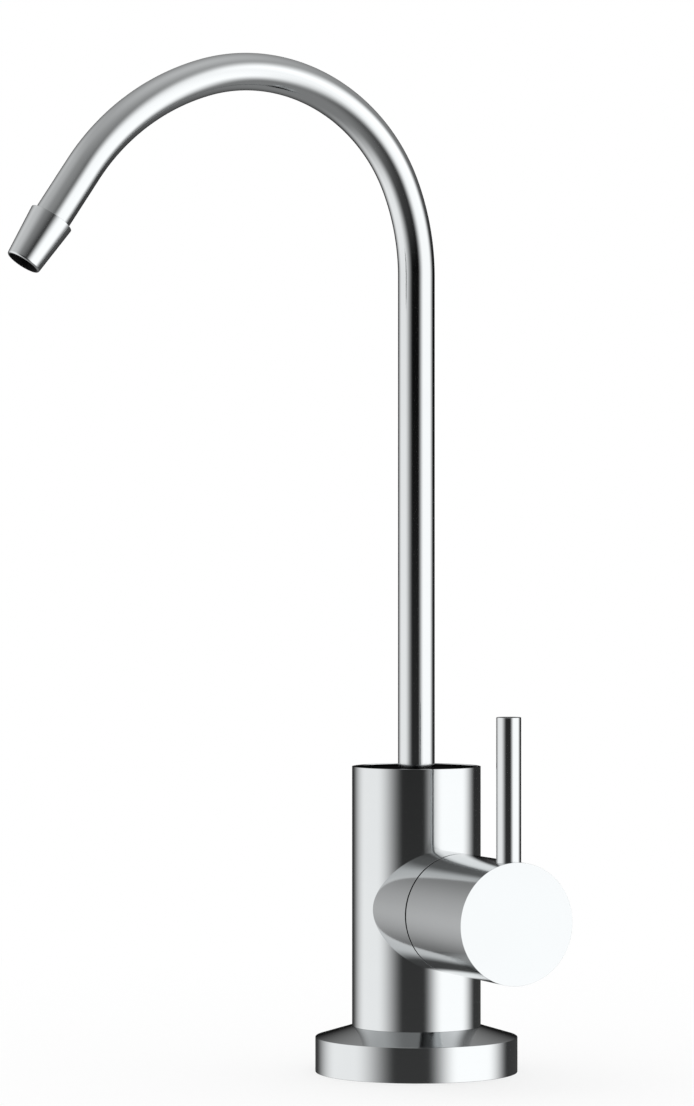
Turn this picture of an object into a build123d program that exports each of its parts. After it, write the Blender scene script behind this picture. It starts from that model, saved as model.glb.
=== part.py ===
from build123d import *
from math import cos, pi, radians, sin
import os

# A deck-mounted tap for filtered drinking water, with its valve and its fixings.
# Millimetres. The origin is the centre of the flange's underside, on the counter.
# +Z is up, -Y is the side that the spout hangs over, and +X is the handle's side.

os.makedirs("parts", exist_ok=True)

# Fits that several pieces share
film = 0.05                 # running clearance between pieces that move on each other
snug = 0.02                 # clearance between pieces that are pressed or screwed together
edge = 0.25                 # chamfer that breaks a turned edge
overrun = 1.0               # how far a cut runs past the face that it opens

# Barrel and side stub, one turned body
barrel_radius = 17.5
stub_radius = 16.0
stub_reach = 28.3           # from the barrel's axis to the stub's face
valve_height = 45.0         # the valve's axis above the counter
inlet_radius = 3.0
seat_hole_radius = 2.6      # from the inlet passage to the valve chamber
seat_wall = 2.0             # metal between the inlet passage and the valve chamber
drill_point_share = 0.55    # length of a drilled hole's point, as a share of its radius
stub_wall = 5.0             # metal round the valve chamber
chamber_roof = 2.5          # metal between the valve chamber and the spout's bore
outlet_radius = 1.9
outlet_inset = 0.4          # the outlet passage inside the spout bore's wall
rim_wall = 0.8
rim_stand = 0.75            # the rim stands this far above the guide bush's dish
spigot_radius = 15.0        # the body's foot inside the flange
spigot_lift = 2.4           # the spigot's end above the counter

# Base flange and its gasket
flange_radius = 27.5
flange_wall_height = 9.5
flange_height = 12.5        # the barrel stands on the flange here
flange_skin = 2.4
gasket_width = 7.2
gasket_thickness = 2.0
gasket_ledge = 1.2

# Spout, its foot and what holds it
tube_radius = 5.0
tube_wall = 1.0
rise_top = 216.2            # where the straight rise ends, above the counter
bend_radii = (65.5, 46.5, 64.0)
bend_turns = (22.0, 85.0, 39.3)     # degrees, one for each radius
tube_run_out = 16.0         # straight stretch between the last bend and the nozzle
tube_step = 2.5             # the tube's foot above the sleeve's foot
spout_bore_radius = 7.0
sleeve_foot_gap = 1.0
sleeve_barrel_length = 10.0
sleeve_flange_height = 2.2
sleeve_grip = 2.4           # how far the sleeve's lower groove is from its foot
gland_radius = 9.0          # thread of the guide bush
slip_washer_thickness = 0.5
bush_stem_length = 8.5
bush_head_height = 1.5
bush_head_gap = 0.15
bush_lip_wall = 0.5         # the bush's head is a shallow dish
bush_lip_sink = 0.15        # the dish's lip below the barrel's rim

# Outlet nozzle
nozzle_length = 14.2
nozzle_top_radius = 6.1
nozzle_mouth_radius = 4.8
nozzle_socket_depth = 5.0
nozzle_bore_radius = 4.0
mouth_radius = 4.2
mouth_depth = 3.0

# Round seals
seal_sides = 8              # flats on a seal's section
groove_depth = 0.9
groove_width = 1.7
groove_pitch = 3.4

# Valve cartridge, from the seat outwards
housing_foot_gap = 0.3
waist_room = 1.6            # way for the water round the housing
housing_wall = 1.5
disc_side_gap = 0.1
seal_thickness = 2.0
seal_ring_width = 2.0
disc_thickness = 2.8
port_inner_share = 0.23     # of the disc's radius
port_land = 2.1             # sealing face outside the ports
port_sweep = 64.0           # degrees
disc_key_width = 2.4
disc_key_depth = 0.9
fork_thickness = 2.5
fork_lug_width = 3.0
stop_gap_radial = 0.2       # the stops end this far inside the housing's waist
stop_sweep = 18.0           # degrees
stop_gap = 1.5              # degrees left at each end of the handle's turn
thrust_thickness = 0.5
stem_share = 0.51           # of the disc's radius
collar_thickness = 2.3
collar_room = 0.5           # between the collar's corners and the hub
clip_thickness = 0.8
clip_width = 1.5
clip_groove_depth = 0.5
clip_opening = 4.0
spline_teeth = 20
spline_tooth_share = 0.44   # tooth's width, as a share of its pitch
spline_tooth_height = 0.5
spline_lead = 0.7           # plain stem between the clip and the spline

# Handle
handle_turn = 90.0          # degrees, from shut to open
seam_gap = 0.8              # between the stub's face and the hub
hub_length = 34.5
hub_wall = 2.8
hub_cavity_depth = 4.8
adapter_wall = 2.0
adapter_length = 10.0
spline_end_gap = 0.5
lever_radius = 3.25
lever_top = 98.4            # above the counter
lever_inset = 4.9           # the lever's axis behind the hub's end face
lever_seat_depth = 2.5
lever_spigot_radius = 2.0
lever_spigot_length = 8.0
grub_radius = 2.5
grub_sink = 0.8
hex_socket_flats = 2.5
hex_socket_depth = 2.5

# Shank and the clamp under the counter
counter_thickness = 25.0    # the counter that the model is clamped to
shank_radius = 5.55
shank_bore_radius = 2.6
shank_collar_radius = 8.0
shank_collar_lift = 0.3     # the collar's underside above the counter
shank_entry = 11.5          # thread inside the body
shank_seal_depth = 1.6
shank_seal_width = 2.0
washer_hole_gap = 0.3
rubber_washer_radius = 16.0
rubber_washer_thickness = 3.0
steel_washer_radius = 15.0
steel_washer_thickness = 1.5
lock_washer_radius = 9.5
lock_washer_thickness = 1.6
lock_washer_split = 1.2
nut_flats = 17.0
nut_thickness = 6.0
spare_thread = 11.0
connector_engagement = 7.0

# Push-fit connector for quarter-inch tube
connector_flats = 19.0
connector_hex_length = 9.0
connector_radius = 7.8
connector_web = 2.6         # metal between the shank's end and the tube's stop
tube_way_radius = 2.3
tube_socket_radius = 3.25
tube_socket_depth = 6.0
inlet_seal_radius = 5.2
inlet_seal_height = 2.1
collet_room_radius = 5.5
collet_room_height = 4.6
mouth_lip_radius = 4.8
mouth_lip_height = 1.5
collet_bore_radius = 3.35
collet_outer_radius = 4.55
collet_barb_height = 1.8
collet_slot_width = 0.9
collet_slots = 4
collet_travel = 1.5
collet_end_gap = 0.3
collet_flange_radius = 6.4
collet_flange_height = 1.6

# Radii of the valve, from the stub inwards
hub_cavity_radius = stub_radius - hub_wall
chamber_radius = stub_radius - stub_wall
housing_waist_radius = chamber_radius - waist_room
housing_bore_radius = housing_waist_radius - housing_wall
disc_radius = housing_bore_radius - disc_side_gap
port_outer_radius = disc_radius - port_land
port_inner_radius = disc_radius * port_inner_share
stem_radius = disc_radius * stem_share
adapter_radius = stem_radius + adapter_wall
stop_radius = housing_waist_radius - stop_gap_radial
collar_flats = 2 * (hub_cavity_radius - collar_room) * cos(radians(30))

# Places along the valve's axis, measured from the barrel's axis
chamber_floor = inlet_radius + seat_wall
fixed_disc_start = chamber_floor + seal_thickness
moving_disc_start = fixed_disc_start + disc_thickness + film
fork_start = moving_disc_start + disc_thickness
thrust_start = fork_start + fork_thickness
housing_shoulder = thrust_start + thrust_thickness + film
collar_face = stub_reach + collar_thickness
clip_start = collar_face + film
spline_start = clip_start + clip_thickness + spline_lead
hub_start = stub_reach + seam_gap
adapter_start = hub_start + hub_cavity_depth
adapter_end = adapter_start + adapter_length
hub_end = hub_start + hub_length
lever_reach = hub_end - lever_inset

# Heights in the spout's bore
spout_floor = valve_height + chamber_radius + chamber_roof
sleeve_foot = spout_floor + sleeve_foot_gap
gland_floor = sleeve_foot + sleeve_barrel_length
sleeve_top = gland_floor + sleeve_flange_height
bush_foot = sleeve_top + slip_washer_thickness + film
bush_shoulder = bush_foot + bush_stem_length
bush_top = bush_shoulder + bush_head_height
barrel_top = bush_top + rim_stand
tube_foot = sleeve_foot + tube_step

# Heights under the counter
rubber_washer_foot = -counter_thickness - rubber_washer_thickness
steel_washer_foot = rubber_washer_foot - steel_washer_thickness
lock_washer_foot = steel_washer_foot - lock_washer_thickness
nut_foot = lock_washer_foot - nut_thickness
connector_top = nut_foot - spare_thread
shank_foot = connector_top - connector_engagement
hex_foot = connector_top - connector_hex_length
tube_stop = shank_foot - connector_web
socket_foot = tube_stop - tube_socket_depth
inlet_seal_foot = socket_foot - inlet_seal_height
lip_top = inlet_seal_foot - collet_room_height
connector_foot = lip_top - mouth_lip_height

# The spout's foot and the stem run with a film of clearance in their bores
sleeve_radius = spout_bore_radius - film
stem_run_radius = stem_radius - film
spline_root_radius = stem_run_radius - spline_tooth_height
clip_groove_radius = stem_run_radius - clip_groove_depth
spline_tooth_width = 2 * pi * stem_run_radius / spline_teeth * spline_tooth_share


def turned(outline):
    """Solid of revolution about Z of an outline of (radius, height) points."""
    return revolve(Plane.XZ * make_face(Polyline(*outline, close=True)), Axis.Z)


def ring(outer, inner, low, high):
    """Plain ring about Z between two heights."""
    return turned([(inner, low), (outer, low), (outer, high), (inner, high)])


def rod(radius, low, high):
    """Plain solid cylinder about Z between two heights."""
    return turned([(0, low), (radius, low), (radius, high), (0, high)])


def sector(outer, inner, middle, sweep, low, high):
    """Slice of a ring, centred on an angle in degrees."""
    start = middle - sweep / 2
    outside = CenterArc((0, 0), outer, start, sweep)
    inside = CenterArc((0, 0), inner, start, sweep)
    ends = [Line(outside @ 0, inside @ 0), Line(outside @ 1, inside @ 1)]
    face = make_face([outside, inside, *ends])
    return Pos(0, 0, low) * extrude(face, amount=high - low, dir=(0, 0, 1))


def hexagon(flats, low, high):
    """Hexagonal bar about Z between two heights."""
    section = RegularPolygon(flats / 2, 6, major_radius=False)
    return Pos(0, 0, low) * extrude(section, amount=high - low)


def slab(width, depth, low, high):
    """Rectangular bar centred on Z between two heights."""
    return Pos(0, 0, low) * extrude(Rectangle(width, depth), amount=high - low)


def round_seal(shaft_groove_radius, bore_radius, middle):
    """Rubber ring with a faceted round section, in the room between a groove's floor and a bore."""
    section = (bore_radius - shaft_groove_radius) / 2 - film
    centre = (bore_radius + shaft_groove_radius) / 2
    corners = [2 * pi * (i + 0.5) / seal_sides for i in range(seal_sides)]
    return turned([(centre + section * cos(a), middle + section * sin(a)) for a in corners])


def seal_groove(shaft_radius, middle):
    """Cut for a round seal in a shaft."""
    floor = shaft_radius - groove_depth
    low = middle - groove_width / 2
    return ring(shaft_radius + overrun, floor, low, low + groove_width)


def on_valve_axis(piece):
    """Lay a piece that was made along Z on the valve's axis.

    Its Z points out along the stub, its X points up and its Y to the spout's side.
    """
    return Pos(0, 0, valve_height) * Rot(0, 90, 0) * Rot(0, 0, 180) * piece


def across_hub(reach, piece):
    """Stand a piece that was made along Z across the valve's axis, at a reach from the barrel."""
    return Pos(reach, 0, valve_height) * piece


# Body and base

def main_body():
    """Barrel with its side stub, drilled for the inlet, the valve and the spout."""
    barrel = turned([
        (0, spigot_lift),
        (spigot_radius, spigot_lift),
        (spigot_radius, flange_height),
        (barrel_radius, flange_height),
        (barrel_radius, barrel_top - edge),
        (barrel_radius - edge, barrel_top),
        (0, barrel_top),
    ])
    stub = on_valve_axis(turned([
        (0, 0),
        (stub_radius, 0),
        (stub_radius, stub_reach - edge),
        (stub_radius - edge, stub_reach),
        (0, stub_reach),
    ]))
    body = barrel + stub
    body -= turned([
        (0, spout_floor),
        (spout_bore_radius, spout_floor),
        (spout_bore_radius, gland_floor),
        (gland_radius, gland_floor),
        (gland_radius, bush_shoulder),
        (barrel_radius - rim_wall, bush_shoulder),
        (barrel_radius - rim_wall, barrel_top + overrun),
        (0, barrel_top + overrun),
    ])
    seal_top = spigot_lift + shank_seal_depth
    body -= rod(shank_radius + snug, spigot_lift - overrun, spigot_lift + shank_entry + snug)
    body -= rod(shank_radius + shank_seal_width, spigot_lift - overrun, seal_top)
    inlet_top = valve_height + inlet_radius
    body -= turned([
        (0, spigot_lift),
        (inlet_radius, spigot_lift),
        (inlet_radius, inlet_top),
        (0, inlet_top + inlet_radius * drill_point_share),
    ])
    body -= on_valve_axis(rod(seat_hole_radius, 0, chamber_floor + overrun))
    body -= on_valve_axis(rod(chamber_radius, chamber_floor, stub_reach + overrun))
    outlet_reach = spout_bore_radius - outlet_radius - outlet_inset
    outlet_foot = valve_height + chamber_radius - outlet_radius
    body -= Pos(outlet_reach, 0, 0) * rod(outlet_radius, outlet_foot, spout_floor + overrun)
    return body


def base_flange():
    """Turned foot: a straight wall, a shallow cone and a ring that centres the barrel."""
    collar_bore = spigot_radius + snug
    inner_ring = barrel_radius + snug
    gasket_outer = inner_ring + gasket_width
    cone_drop = flange_height - flange_wall_height
    hollow_outer = gasket_outer - gasket_ledge
    hollow_inner = inner_ring + gasket_ledge
    slope = cone_drop / (flange_radius - barrel_radius)
    hollow_top = flange_height - flange_skin
    return turned([
        (collar_bore, 0),
        (inner_ring, 0),
        (inner_ring, gasket_thickness),
        (hollow_inner, gasket_thickness),
        (hollow_inner, hollow_top - slope * (hollow_inner - barrel_radius)),
        (hollow_outer, hollow_top - slope * (hollow_outer - barrel_radius)),
        (hollow_outer, gasket_thickness),
        (gasket_outer, gasket_thickness),
        (gasket_outer, 0),
        (flange_radius - edge, 0),
        (flange_radius, edge),
        (flange_radius, flange_wall_height),
        (barrel_radius, flange_height),
        (collar_bore, flange_height),
    ])


def base_gasket():
    """Rubber ring that closes the flange's hollow, flush with its underside."""
    inner = barrel_radius + snug
    return ring(inner + gasket_width - snug, inner + snug, 0, gasket_thickness)


# Spout

def spout_path():
    """Centreline: a straight rise, three bends in one plane and a straight run-out."""
    path = [Line((0, 0, tube_foot), (0, 0, rise_top))]
    for radius, turn in zip(bend_radii, bend_turns):
        path.append(bend(path[-1], radius, turn))
    end = path[-1]
    path.append(Line(end @ 1, end @ 1 + (end % 1) * (tube_run_out + nozzle_socket_depth)))
    return path


def bend(before, radius, turn):
    """Arc towards -Y that leaves the stretch before it without a kink."""
    start = before @ 1
    along = before % 1
    inward = Vector(0, -along.Z, along.Y)
    centre = start + inward * radius
    half = radians(turn / 2)
    whole = radians(turn)
    middle = centre + along * (radius * sin(half)) - inward * (radius * cos(half))
    end = centre + along * (radius * sin(whole)) - inward * (radius * cos(whole))
    return ThreePointArc(start, middle, end)


def spout_tube():
    """Gooseneck tube."""
    section = Circle(tube_radius) - Circle(tube_radius - tube_wall)
    path = Wire(spout_path())
    return sweep(Pos(0, 0, tube_foot) * section, path=path)


def spout_sleeve():
    """Foot of the spout, with two seal grooves and the shoulder that holds it down."""
    tube_bore = tube_radius - tube_wall
    sleeve = turned([
        (tube_bore, sleeve_foot),
        (sleeve_radius, sleeve_foot),
        (sleeve_radius, gland_floor + film),
        (gland_radius - film, gland_floor + film),
        (gland_radius - film, sleeve_top),
        (tube_radius + snug, sleeve_top),
        (tube_radius + snug, tube_foot),
        (tube_bore, tube_foot),
    ])
    for middle in sleeve_seal_heights():
        sleeve -= seal_groove(sleeve_radius, middle)
    return sleeve


def sleeve_seal_heights():
    """Heights of the two seals on the spout's foot."""
    lower = sleeve_foot + sleeve_grip
    return [lower, lower + groove_pitch]


def spout_o_rings():
    """The two seals on the spout's foot."""
    floor = sleeve_radius - groove_depth
    return [round_seal(floor, spout_bore_radius, middle) for middle in sleeve_seal_heights()]


def slip_washer():
    """Washer on the sleeve's shoulder, which turns under the guide bush."""
    return ring(gland_radius - film, tube_radius + snug, sleeve_top, sleeve_top + slip_washer_thickness)


def guide_bush():
    """Dark bush screwed into the barrel's top, which steadies the tube and holds it down."""
    head_radius = barrel_radius - rim_wall - bush_head_gap
    lip_top = barrel_top - bush_lip_sink
    bore = tube_radius + film
    return turned([
        (bore, bush_foot),
        (gland_radius - snug, bush_foot),
        (gland_radius - snug, bush_shoulder),
        (head_radius, bush_shoulder),
        (head_radius, lip_top),
        (head_radius - bush_lip_wall, lip_top),
        (head_radius - bush_lip_wall, bush_top),
        (bore + edge, bush_top),
        (bore, bush_top - edge),
    ])


def outlet_nozzle():
    """Tapered outlet that covers the tube's end, with a wider mouth."""
    mouth_step = nozzle_length - mouth_depth
    socket_end = nozzle_socket_depth + snug
    nozzle = turned([
        (tube_radius + snug, 0),
        (nozzle_top_radius - edge, 0),
        (nozzle_top_radius, edge),
        (nozzle_mouth_radius, nozzle_length - edge),
        (nozzle_mouth_radius - edge, nozzle_length),
        (mouth_radius, nozzle_length),
        (mouth_radius, mouth_step),
        (nozzle_bore_radius, mouth_step),
        (nozzle_bore_radius, socket_end),
        (tube_radius + snug, socket_end),
    ])
    run_out = spout_path()[-1]
    along = run_out % 1
    top = run_out @ 1 - along * nozzle_socket_depth
    return Plane(origin=top, z_dir=along).location * nozzle


# Valve cartridge

def cartridge_housing():
    """Housing with a waist that water flows round, two side windows, a neck and a hexagonal collar."""
    thread_radius = chamber_radius - snug
    neck_start = housing_shoulder + collar_thickness
    housing = turned([
        (housing_bore_radius, chamber_floor + housing_foot_gap),
        (housing_waist_radius, chamber_floor + housing_foot_gap),
        (housing_waist_radius, housing_shoulder),
        (thread_radius, neck_start),
        (thread_radius, stub_reach),
        (stem_radius, stub_reach),
        (stem_radius, housing_shoulder),
        (housing_bore_radius, housing_shoulder),
    ])
    housing += hexagon(collar_flats, stub_reach, collar_face)
    housing -= rod(stem_radius, housing_shoulder, collar_face + overrun)
    housing -= seal_groove(thread_radius, housing_seal_reach())
    for middle in (90, 270):
        housing -= window(middle + handle_turn / 2)
    for middle in (0, 180):
        housing -= disc_key(middle, snug)
    return on_valve_axis(housing)


def housing_seal_reach():
    """Place of the seal between the housing and the stub's bore."""
    return housing_shoulder + collar_thickness + groove_width


def window(middle):
    """Cut through the housing's waist, as wide as the stop needs for a quarter turn."""
    room = handle_turn + stop_sweep + 2 * stop_gap
    low = moving_disc_start + disc_thickness / 2
    return sector(housing_waist_radius + overrun, disc_radius - edge, middle, room, low, thrust_start + film)


def disc_key(middle, gap):
    """Key that stops the fixed disc from turning in the housing."""
    width = disc_key_width + 2 * gap
    reach = disc_radius + disc_key_depth + gap
    low = fixed_disc_start - gap
    key = Pos(reach / 2, 0, 0) * slab(reach, width, low, fixed_disc_start + disc_thickness + gap)
    return Rot(0, 0, middle) * (key - rod(disc_radius / 2, low - overrun, fork_start))


def cartridge_o_ring():
    """Seal between the housing and the stub's bore."""
    floor = chamber_radius - snug - groove_depth
    return on_valve_axis(round_seal(floor, chamber_radius, housing_seal_reach()))


def seat_seal():
    """Rubber ring between the body's seat and the fixed disc."""
    return on_valve_axis(ring(disc_radius, disc_radius - seal_ring_width, chamber_floor, fixed_disc_start))


def ported_disc(start, port_angle):
    """Ceramic disc with two ports opposite each other."""
    end = start + disc_thickness
    disc = rod(disc_radius, start, end)
    for middle in (port_angle, port_angle + 180):
        disc -= sector(port_outer_radius, port_inner_radius, middle, port_sweep, start - overrun, end + overrun)
    return disc


def fixed_disc():
    """Ceramic disc with its ports to the front and back, keyed into the housing."""
    disc = ported_disc(fixed_disc_start, 90)
    for middle in (0, 180):
        disc += disc_key(middle, 0)
    return on_valve_axis(disc)


def moving_disc():
    """Ceramic disc with its ports up and down at rest, which closes the valve."""
    disc = ported_disc(moving_disc_start, 0)
    for middle in (90, 270):
        disc -= fork_lug(middle, snug)
    return on_valve_axis(disc)


def fork_lug(middle, gap):
    """Lug of the spindle's fork that turns the moving disc."""
    low = fork_start - disc_thickness / 2 - gap
    reach = disc_radius - port_outer_radius
    high = fork_start + gap
    lug = Pos(disc_radius - reach / 2, 0, 0) * slab(reach + overrun, fork_lug_width + 2 * gap, low, high)
    return Rot(0, 0, middle) * (lug & ring(disc_radius + gap, port_outer_radius, low, high))


def valve_spindle():
    """Fork with two lugs and two stops, stem with seal grooves, clip groove and spline."""
    spindle = rod(disc_radius, fork_start, thrust_start)
    for middle in (0, 180):
        spindle -= sector(disc_radius + overrun, port_inner_radius + stem_radius / 2, middle, port_sweep,
                          fork_start - overrun, thrust_start + overrun)
    for middle in (90, 270):
        spindle += fork_lug(middle, 0)
        spindle += sector(stop_radius, stem_radius, middle, stop_sweep, fork_start, thrust_start)
    spindle += rod(stem_run_radius, fork_start + fork_thickness / 2, spline_start)
    spindle += splined_bar(0, spline_start - spline_lead, adapter_end - spline_end_gap)
    for middle in spindle_seal_reaches():
        spindle -= seal_groove(stem_run_radius, middle)
    clip_end = clip_start + clip_thickness
    spindle -= ring(stem_radius + overrun, clip_groove_radius, clip_start - snug, clip_end + snug)
    return on_valve_axis(spindle)


def splined_bar(gap, low, high):
    """Bar with straight-sided teeth all round, grown by a gap for the bore that takes it."""
    bar = rod(spline_root_radius + gap, low, high)
    tip = stem_run_radius + gap
    root = spline_root_radius - spline_tooth_height
    tooth = Pos((tip + root) / 2, 0, 0) * slab(tip - root, spline_tooth_width + 2 * gap, low, high)
    return bar + [Rot(0, 0, 360 * i / spline_teeth) * tooth for i in range(spline_teeth)]


def spindle_seal_reaches():
    """Places of the two seals on the stem."""
    outer = stub_reach - groove_pitch / 2
    return [outer - groove_pitch, outer]


def spindle_o_rings():
    """The two seals on the stem."""
    floor = stem_run_radius - groove_depth
    return [on_valve_axis(round_seal(floor, stem_radius, middle)) for middle in spindle_seal_reaches()]


def thrust_washer():
    """Washer between the fork and the housing's shoulder."""
    washer = ring(disc_radius, stem_run_radius + snug, thrust_start, thrust_start + thrust_thickness)
    return on_valve_axis(washer)


def spindle_clip():
    """Open clip in the stem's groove, which keeps the spindle in the housing."""
    inner = clip_groove_radius + snug
    clip_end = clip_start + clip_thickness
    clip = ring(inner + clip_width, inner, clip_start, clip_end)
    mouth = slab(2 * clip_width + overrun, clip_opening, clip_start - overrun, clip_end + overrun)
    return on_valve_axis(clip - Pos(inner + clip_width, 0, 0) * mouth)


# Handle

def handle_hub():
    """Round hub with a cavity over the valve's collar, an adapter bore and two cross holes."""
    hub = on_valve_axis(turned([
        (hub_cavity_radius, hub_start),
        (stub_radius - edge, hub_start),
        (stub_radius, hub_start + edge),
        (stub_radius, hub_end - edge),
        (stub_radius - edge, hub_end),
        (0, hub_end),
        (0, adapter_end + snug),
        (adapter_radius + snug, adapter_end + snug),
        (adapter_radius + snug, adapter_start),
        (hub_cavity_radius, adapter_start),
    ]))
    spigot_end = stub_radius - lever_seat_depth - lever_spigot_length - snug
    hub -= across_hub(lever_reach, rod(lever_radius + snug, lever_seat(), stub_radius + overrun))
    hub -= across_hub(lever_reach, rod(lever_spigot_radius + snug, spigot_end, stub_radius))
    hub -= across_hub(grub_reach(), rod(grub_radius + snug, -stub_radius - overrun, -adapter_radius))
    return hub


def lever_seat():
    """Height of the lever's seat above the valve's axis."""
    return stub_radius - lever_seat_depth


def grub_reach():
    """Place of the grub screw along the valve's axis, half way along the adapter."""
    return (adapter_start + adapter_end) / 2


def lever_rod():
    """Thin lever with a spigot that screws into the hub."""
    top = lever_top - valve_height
    seat = lever_seat()
    return across_hub(lever_reach, turned([
        (0, seat - lever_spigot_length),
        (lever_spigot_radius, seat - lever_spigot_length),
        (lever_spigot_radius, seat),
        (lever_radius, seat),
        (lever_radius, top - edge),
        (lever_radius - edge, top),
        (0, top),
    ]))


def grub_screw():
    """Set screw with a hexagonal socket, from the hub's underside to the adapter."""
    low = grub_sink - stub_radius
    high = -adapter_radius - snug
    screw = rod(grub_radius, low, high) - hexagon(hex_socket_flats, low - overrun, low + hex_socket_depth)
    return across_hub(grub_reach(), screw)


def spline_adapter():
    """Insert between the spindle's spline and the hub."""
    bush = rod(adapter_radius, adapter_start, adapter_end)
    bush -= splined_bar(snug, adapter_start - overrun, adapter_end + overrun)
    return on_valve_axis(bush)


# Shank and the clamp under the counter

def threaded_shank():
    """Hollow stem with a collar, screwed into the body from below."""
    top = spigot_lift + shank_entry
    return turned([
        (shank_bore_radius, shank_foot),
        (shank_radius - edge, shank_foot),
        (shank_radius, shank_foot + edge),
        (shank_radius, shank_collar_lift),
        (shank_collar_radius, shank_collar_lift),
        (shank_collar_radius, spigot_lift),
        (shank_radius, spigot_lift),
        (shank_radius, top - edge),
        (shank_radius - edge, top),
        (shank_bore_radius, top),
    ])


def shank_seal():
    """Rubber ring between the shank's collar and the body."""
    outer = shank_radius + shank_seal_width - snug
    return ring(outer, shank_radius + snug, spigot_lift, spigot_lift + shank_seal_depth)


def clamp_washer(radius, foot, thickness):
    """Flat washer round the shank."""
    return ring(radius, shank_radius + washer_hole_gap, foot, foot + thickness)


def lock_washer():
    """Spring washer, split at one side."""
    washer = clamp_washer(lock_washer_radius, lock_washer_foot, lock_washer_thickness)
    reach = lock_washer_radius + overrun
    split = slab(reach, lock_washer_split, lock_washer_foot - overrun, steel_washer_foot + overrun)
    return washer - Pos(reach / 2, 0, 0) * split


def mounting_nut():
    """Hexagonal nut with chamfered corners."""
    corner = nut_flats / 2 / cos(radians(30))
    top = lock_washer_foot
    blank = turned([
        (0, nut_foot),
        (corner - 2 * edge, nut_foot),
        (corner, nut_foot + edge),
        (corner, top - edge),
        (corner - 2 * edge, top),
        (0, top),
    ])
    nut = hexagon(nut_flats, nut_foot, top) & blank
    return nut - rod(shank_radius + snug, nut_foot - overrun, top + overrun)


# Push-fit connector

def connector_body():
    """Hexagon that screws on the shank, and a round socket that takes the tube."""
    body = turned([
        (0, connector_foot),
        (connector_radius - edge, connector_foot),
        (connector_radius, connector_foot + edge),
        (connector_radius, hex_foot),
        (0, hex_foot),
    ])
    body += hexagon(connector_flats, hex_foot, connector_top)
    body -= rod(shank_radius + snug, shank_foot, connector_top + overrun)
    body -= rod(tube_way_radius, tube_stop - overrun, shank_foot + overrun)
    body -= turned([
        (0, tube_stop),
        (tube_socket_radius, tube_stop),
        (tube_socket_radius, socket_foot),
        (inlet_seal_radius, socket_foot),
        (inlet_seal_radius, inlet_seal_foot),
        (collet_room_radius, inlet_seal_foot),
        (collet_room_radius, lip_top),
        (mouth_lip_radius, lip_top),
        (mouth_lip_radius, connector_foot - overrun),
        (0, connector_foot - overrun),
    ])
    return body


def connector_o_ring():
    """Seal round the pushed-in tube."""
    middle = (socket_foot + inlet_seal_foot) / 2
    return round_seal(collet_bore_radius, inlet_seal_radius, middle)


def release_collet():
    """Slotted collet with barbs behind the connector's lip and a flange to push."""
    flange_top = connector_foot - collet_travel - collet_end_gap
    barb_foot = lip_top + collet_end_gap
    barb_top = barb_foot + collet_barb_height
    barb_radius = collet_room_radius - collet_end_gap
    collet = turned([
        (collet_bore_radius, flange_top - collet_flange_height),
        (collet_flange_radius - edge, flange_top - collet_flange_height),
        (collet_flange_radius, flange_top - collet_flange_height + edge),
        (collet_flange_radius, flange_top),
        (collet_outer_radius, flange_top),
        (collet_outer_radius, barb_foot),
        (barb_radius, barb_foot),
        (collet_outer_radius, barb_top),
        (collet_bore_radius, barb_top),
    ])
    slot = slab(2 * collet_flange_radius, collet_slot_width, flange_top + edge, barb_top + overrun)
    for i in range(collet_slots // 2):
        collet -= Rot(0, 0, 360 * i / collet_slots) * slot
    return collet


pieces = {
    "main_body": main_body(),
    "base_flange": base_flange(),
    "base_gasket": base_gasket(),
    "guide_bush": guide_bush(),
    "spout_tube": spout_tube(),
    "spout_sleeve": spout_sleeve(),
    "spout_o_rings": spout_o_rings(),
    "slip_washer": slip_washer(),
    "outlet_nozzle": outlet_nozzle(),
    "cartridge_housing": cartridge_housing(),
    "cartridge_o_ring": cartridge_o_ring(),
    "seat_seal": seat_seal(),
    "fixed_disc": fixed_disc(),
    "moving_disc": moving_disc(),
    "valve_spindle": valve_spindle(),
    "spindle_o_rings": spindle_o_rings(),
    "thrust_washer": thrust_washer(),
    "spindle_clip": spindle_clip(),
    "handle_hub": handle_hub(),
    "lever_rod": lever_rod(),
    "grub_screw": grub_screw(),
    "spline_adapter": spline_adapter(),
    "threaded_shank": threaded_shank(),
    "shank_seal": shank_seal(),
    "rubber_washer": clamp_washer(rubber_washer_radius, rubber_washer_foot, rubber_washer_thickness),
    "steel_washer": clamp_washer(steel_washer_radius, steel_washer_foot, steel_washer_thickness),
    "lock_washer": lock_washer(),
    "mounting_nut": mounting_nut(),
    "connector_body": connector_body(),
    "connector_o_ring": connector_o_ring(),
    "release_collet": release_collet(),
}

for name, shape in pieces.items():
    if isinstance(shape, list):
        shape = Compound(children=shape)
    export_step(shape, f"parts/{name}.step")
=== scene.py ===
# %% [markdown]
# # A tap for filtered drinking water
#
# This lesson dresses a packed tap in Blender. The mechanism is already there as fixed
# solids, in metres, with the counter at height zero. The pieces that the eye meets first
# are modelled again with finer edges, and so are the shank, its clamp and the connector
# below the counter. Each one stands where its solid stands. The valve and the seals keep
# their solids and get their real finishes.

# %% Load the fixed model
from math import atan2, cos, pi, radians, sin

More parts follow.
